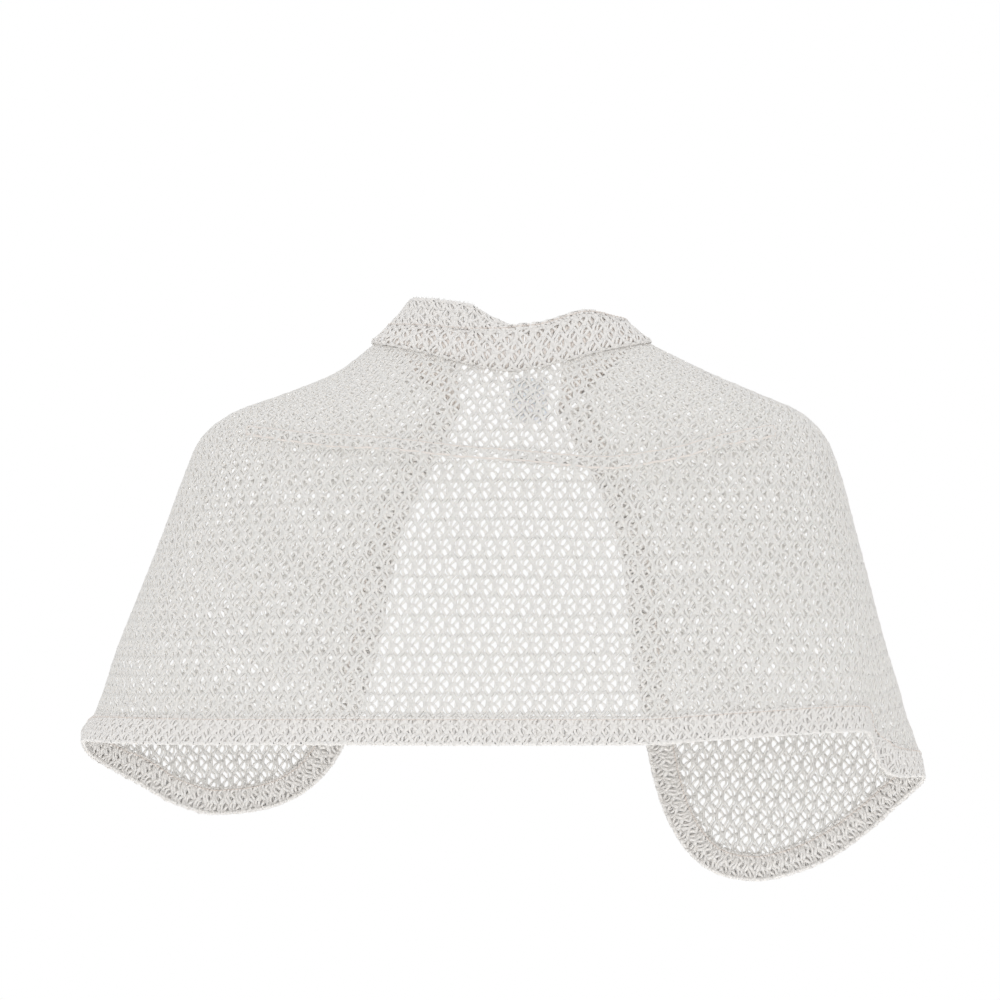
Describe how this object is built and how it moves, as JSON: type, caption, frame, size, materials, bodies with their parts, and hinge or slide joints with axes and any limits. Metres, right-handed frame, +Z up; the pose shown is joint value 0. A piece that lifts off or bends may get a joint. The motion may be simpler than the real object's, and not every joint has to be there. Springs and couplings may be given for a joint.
{
  "type": "cape cardigan",
  "caption": "Open-front cape cardigan in open-net knit, as worn: straight back, rounded fronts that hang lower, soft standing collar and folded hem.",
  "frame": {"origin": "middle of the neck ring, at the height of the neck seam at centre back, where the wearer's neck and shoulders hold the cape", "axes": "+Z up, -Y out of the back of the garment, +X to the wearer's right"},
  "size_m": [0.6119, 0.2705, 0.4261],
  "materials": {
    "net": "matte ivory open-net knit",
    "hem": "matte ivory net knit, folded double, with a fluffy edge",
    "label": "blank white woven tape"
  },
  "bodies": {
    "root": {"back_panel": "net", "left_front": "net", "right_front": "net", "collar": "net", "collar_edge": "hem", "back_hem": "hem", "left_front_hem": "hem", "right_front_hem": "hem", "label": "label"}
  },
  "joints": []
}
